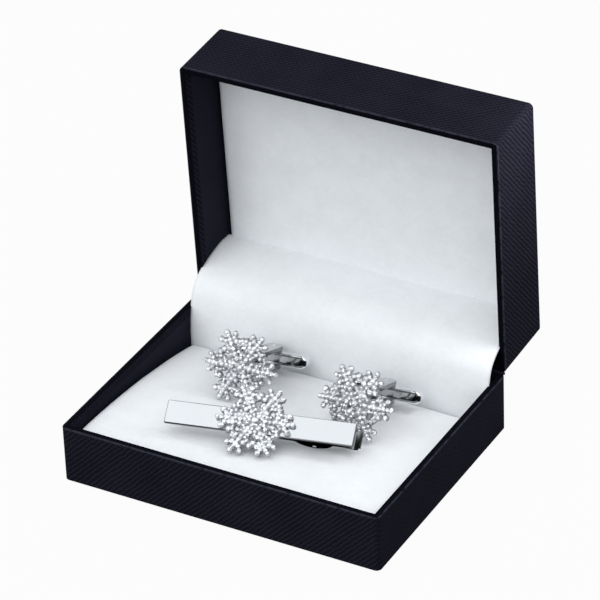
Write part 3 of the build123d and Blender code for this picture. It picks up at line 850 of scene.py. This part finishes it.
# Toggles: round-ended bars, hollowed on the side towards the post
toggleLook = {
    "length": 18.6,
    "height": 3.1,
    "depth": 4.0,
    "wall": 0.74,
    "hollow": 1.1,
    "rim": 0.30,
    "back": 1.2,
    "postLength": 19.2,
    "spin": 2.0,
    "twist": 5.0,  # of the circle, so that none of its corners lies where the two round ends part
    "leafFolds": [  # place along the hollow, height above its floor
        (-7.4, 0.1),
        (-5.6, 0.7),
        (-4.2, 0.15),
        (-2.6, 0.55),
        (-0.9, 0.05),
        (1.2, 0.75),
        (2.6, 0.2),
        (4.4, 0.6),
        (5.6, 0.1),
        (6.3, 0.65),
        (7.3, 0.05),
    ],
    "leafSlant": 0.45,
    "leafThickness": 0.08,
    "leafRest": 0.12,
}


def raiseFaces(bm, faces, height):
    made = bmesh.ops.extrude_face_region(bm, geom=faces)["geom"]
    verts = [g for g in made if isinstance(g, bmesh.types.BMVert)]
    bmesh.ops.translate(bm, vec=(0, 0, height), verts=verts)


def makeToggle(name, node, body, place):
    look = toggleLook
    bm = bmesh.new()
    radius = look["height"] / 2
    bmesh.ops.create_circle(bm, cap_ends=True, segments=36, radius=radius)
    bmesh.ops.rotate(bm, verts=bm.verts, matrix=Matrix.Rotation(radians(look["twist"]), 3, "Z"))
    for v in bm.verts:
        v.co.x += (look["length"] / 2 - radius) * (1 if v.co.x > 0 else -1)
    bmesh.ops.translate(bm, vec=(0, 0, -look["depth"] / 2), verts=bm.verts)
    raiseFaces(bm, bm.faces[:], look["depth"])
    bmesh.ops.recalc_face_normals(bm, faces=bm.faces)
    for level, size, steps in ((-look["depth"] / 2, look["back"], 5), (look["depth"] / 2, look["rim"], 3)):
        edges = [e for e in bm.edges if all(abs(v.co.z - level) < 1e-4 for v in e.verts)]
        bmesh.ops.bevel(
            bm, geom=edges, offset=size, segments=steps, profile=0.5, affect="EDGES", material=-1
        )
    top = max(bm.faces, key=lambda f: f.calc_center_median().z + f.calc_area() * 0.001)
    bmesh.ops.inset_region(bm, faces=[top], thickness=look["wall"] - look["rim"])
    raiseFaces(bm, [top], -look["hollow"])
    bmesh.ops.delete(bm, geom=[top], context="FACES")
    low = look["depth"] / 2 - look["hollow"]
    for face in bm.faces:
        inside = all(abs(v.co.y) < radius - look["wall"] + 0.02 and v.co.z > low - 0.01 for v in face.verts)
        face.material_index = 1 if inside else 0
    bmesh.ops.transform(bm, matrix=Matrix.Scale(mm, 4) @ place, verts=bm.verts)
    piece = newPiece(name, bm, looks["brightSilver"], body, smooth=False)
    piece.data.materials.append(looks["slotShadow"])
    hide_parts(node)
    makeLeaf(name + "Leaf", node + "_detent", body, place)


def makeLeaf(name, node, body, place):
    # a thin spring folded to and fro, its creases slanting across the hollow
    look = toggleLook
    bm = bmesh.new()
    half = look["height"] / 2 - look["wall"] - 0.05
    floor = look["depth"] / 2 - look["hollow"] + look["leafRest"]
    rows = []
    for x, rise in look["leafFolds"]:
        ends = [(x + side * look["leafSlant"], side * half, floor + rise) for side in (-1, 1)]
        rows.append([bm.verts.new(end) for end in ends])
    for a, b in zip(rows, rows[1:]):
        bm.faces.new((a[0], b[0], b[1], a[1]))
    bmesh.ops.solidify(bm, geom=bm.faces[:], thickness=look["leafThickness"])
    bmesh.ops.recalc_face_normals(bm, faces=bm.faces)
    bmesh.ops.transform(bm, matrix=Matrix.Scale(mm, 4) @ place, verts=bm.verts)
    leaf = newPiece(name, bm, looks["leafSilver"], body, smooth=False)
    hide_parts(node)


spin = Matrix.Rotation(radians(toggleLook["spin"]), 4, "Z")
behind = spin @ Matrix.Translation((0, 0, -toggleLook["postLength"]))
for side in ("left", "right"):
    makeToggle(side + "Toggle", side + "_toggle", "toggle_" + side, jewelPlaces[side] @ behind)
print("toggles made")


# Floor, backdrop and light
studio = {
    "floorColour": (0.28, 0.28, 0.28),
    "floorWhite": 0.96,  # share of plain white in what the camera sees of the floor
    "zenith": (0.93, 0.965, 1.0),
    "skyLight": 1.20,  # overhead
    "skyLow": 0.50,  # at the horizon
    "skyFront": 0.82,  # added at the horizon in front
    "skyRight": 1.0,  # share of the light that the low sky loses on the right
    "keyPower": 1.8,
    "keyPlace": (-0.12, -0.60, 0.62),
    "keyTarget": (0, 0.01, 0.03),
    "keySize": 0.7,
    "sidePower": 0.026,
    "sidePlace": (0.074, 0.040, 0.085),
    "sideTarget": (0.041, 0.040, 0.070),
    "sideSize": 0.03,
}


def makeStudio():
    bm = bmesh.new()
    bmesh.ops.create_grid(bm, x_segments=1, y_segments=1, size=3.0)
    mesh = bpy.data.meshes.new("floor")
    bm.to_mesh(mesh)
    bm.free()
    floor = bpy.data.objects.new("floor", mesh)
    bpy.context.scene.collection.objects.link(floor)
    f = Finish("paleFloor", Base_Color=studio["floorColour"], Roughness=0.9, Specular_IOR_Level=0.0)
    mesh.materials.append(f.material)
    glow = f.node("ShaderNodeEmission", {}, {"Color": (1, 1, 1), "Strength": 1.0})
    shown = f.node("ShaderNodeMixShader", {}, {0: raysSeen(f) * studio["floorWhite"], 2: glow})
    f.tree.links.new(f.shader.outputs[0], shown.out.node.inputs[1])
    f.tree.links.new(shown.out, f.tree.nodes["Material Output"].inputs[0])

    world = bpy.data.worlds.new("studio")
    bpy.context.scene.world = world
    world.use_nodes = True
    w = Finish(None, world.node_tree)
    way = w.node("ShaderNodeTexCoord", {}, {}, "Generated")
    x, y, z = w.parts(way)
    level = z.between(-0.05, 0.85)
    amount = level * (studio["skyLight"] - studio["skyLow"]) + studio["skyLow"]
    low = z.between(0.55, 0.0)
    amount = amount + y.between(-0.2, -1.0) * low * studio["skyFront"]
    amount = amount * (1 - x.between(0.0, 0.8) * low * studio["skyRight"])
    backdrop = w.tree.nodes["Background"]
    w.feed(backdrop.inputs["Color"], studio["zenith"])
    w.feed(backdrop.inputs["Strength"], amount)

    addLamp("key")
    addLamp("side")


def addLamp(name):
    lamp = bpy.data.lights.new(name + "Light", "AREA")
    lamp.energy = studio[name + "Power"]
    lamp.size = studio[name + "Size"]
    held = bpy.data.objects.new(name + "Light", lamp)
    held.location = studio[name + "Place"]
    held.rotation_mode = "QUATERNION"
    aim = Vector(studio[name + "Target"]) - Vector(studio[name + "Place"])
    held.rotation_quaternion = aim.to_track_quat("-Z", "Y")
    held.visible_camera = False
    bpy.context.scene.collection.objects.link(held)


def raysSeen(f):  # 1 for what the camera sees, also by way of metal or glass
    direct = f.node("ShaderNodeLightPath", {}, {}, "Is Camera Ray")
    mirrored = f.node("ShaderNodeLightPath", {}, {}, "Is Glossy Ray")
    through = f.node("ShaderNodeLightPath", {}, {}, "Is Transmission Ray")
    return direct.calc("MAXIMUM", mirrored).calc("MAXIMUM", through)


makeStudio()
bpy.context.scene.view_settings.view_transform = "Standard"
print("studio made")
